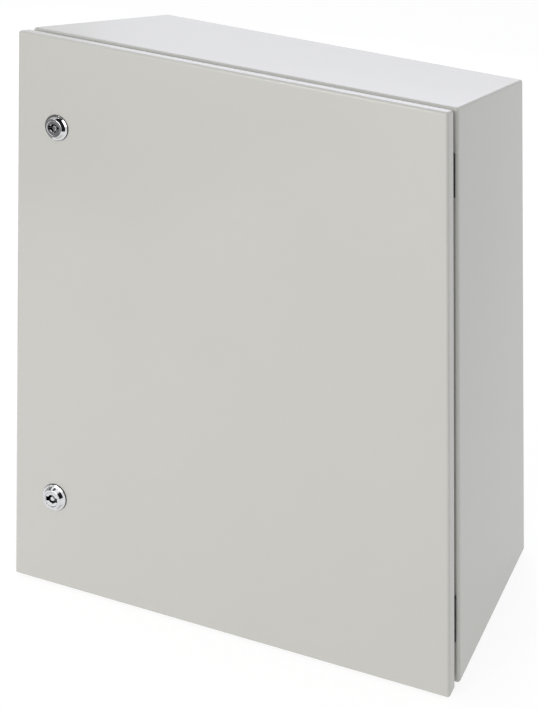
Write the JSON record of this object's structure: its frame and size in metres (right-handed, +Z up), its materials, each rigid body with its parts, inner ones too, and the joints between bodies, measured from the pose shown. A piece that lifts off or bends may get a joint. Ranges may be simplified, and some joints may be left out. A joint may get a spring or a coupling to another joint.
{
  "type": "steel wall enclosure",
  "caption": "Box-shaped sheet steel wall enclosure with a hinged front door, quarter-turn cam locks, an inner mounting plate and a gland plate in its base.",
  "frame": {"origin": "middle of the box round the closed enclosure, on the plane of its bottom face", "axes": "+Z up, -Y out of the door's front face, +X towards the hinges as seen from the front"},
  "size_m": [0.5, 0.2554, 0.6],
  "materials": {
    "grey_powder_coat": "fine textured light grey polyester powder coat",
    "galvanised_steel": "sendzimir galvanised",
    "zinc_plated_steel": "bright zinc plated",
    "chromed_zinc": "polished chrome on die-cast zinc",
    "black_coated_steel": "black satin coat",
    "foamed_seal": "foamed polyurethane, matt",
    "black_rubber": "matt"
  },
  "bodies": {
    "enclosure": {"enclosure_body": "grey_powder_coat", "rear_panel": "grey_powder_coat", "mounting_plate": "galvanised_steel", "plate_studs": "zinc_plated_steel", "plate_spacers": "zinc_plated_steel", "plate_washers": "zinc_plated_steel", "plate_nuts": "zinc_plated_steel", "gland_plate": "grey_powder_coat", "gland_gasket": "black_rubber", "gland_studs": "zinc_plated_steel", "gland_nuts": "zinc_plated_steel", "body_earth_stud": "zinc_plated_steel", "body_earth_nut": "zinc_plated_steel", "hinge_screws": "zinc_plated_steel", "hinge_nuts": "zinc_plated_steel", "upper_hinge_body_leaf": "black_coated_steel", "lower_hinge_body_leaf": "black_coated_steel", "upper_hinge_pin": "black_coated_steel", "lower_hinge_pin": "black_coated_steel"},
    "door": {"door_panel": "grey_powder_coat", "door_seal": "foamed_seal", "hinge_side_rail": "grey_powder_coat", "lock_side_rail": "grey_powder_coat", "door_earth_stud": "zinc_plated_steel", "door_earth_nut": "zinc_plated_steel", "upper_hinge_door_leaf": "black_coated_steel", "lower_hinge_door_leaf": "black_coated_steel", "upper_lock_housing": "chromed_zinc", "upper_lock_seal": "black_rubber", "upper_lock_nut": "zinc_plated_steel", "lower_lock_housing": "chromed_zinc", "lower_lock_seal": "black_rubber", "lower_lock_nut": "zinc_plated_steel"},
    "upper_latch": {"upper_lock_barrel": "chromed_zinc", "upper_lock_cam": "zinc_plated_steel", "upper_cam_screw": "zinc_plated_steel"},
    "lower_latch": {"lower_lock_barrel": "chromed_zinc", "lower_lock_cam": "zinc_plated_steel", "lower_cam_screw": "zinc_plated_steel"}
  },
  "joints": [
    {"name": "door_hinge", "type": "hinge", "parent": "enclosure", "child": "door", "pos_m": [0.245, -0.1048, 0.3], "axis": [0, 0, 1], "range_deg": [0, 115]},
    {"name": "upper_lock_turn", "type": "hinge", "parent": "door", "child": "upper_latch", "pos_m": [-0.199, -0.1223, 0.4995], "axis": [0, 1, 0], "range_deg": [0, 90]},
    {"name": "lower_lock_turn", "type": "hinge", "parent": "door", "child": "lower_latch", "pos_m": [-0.199, -0.1223, 0.0965], "axis": [0, 1, 0], "range_deg": [0, 90]}
  ]
}
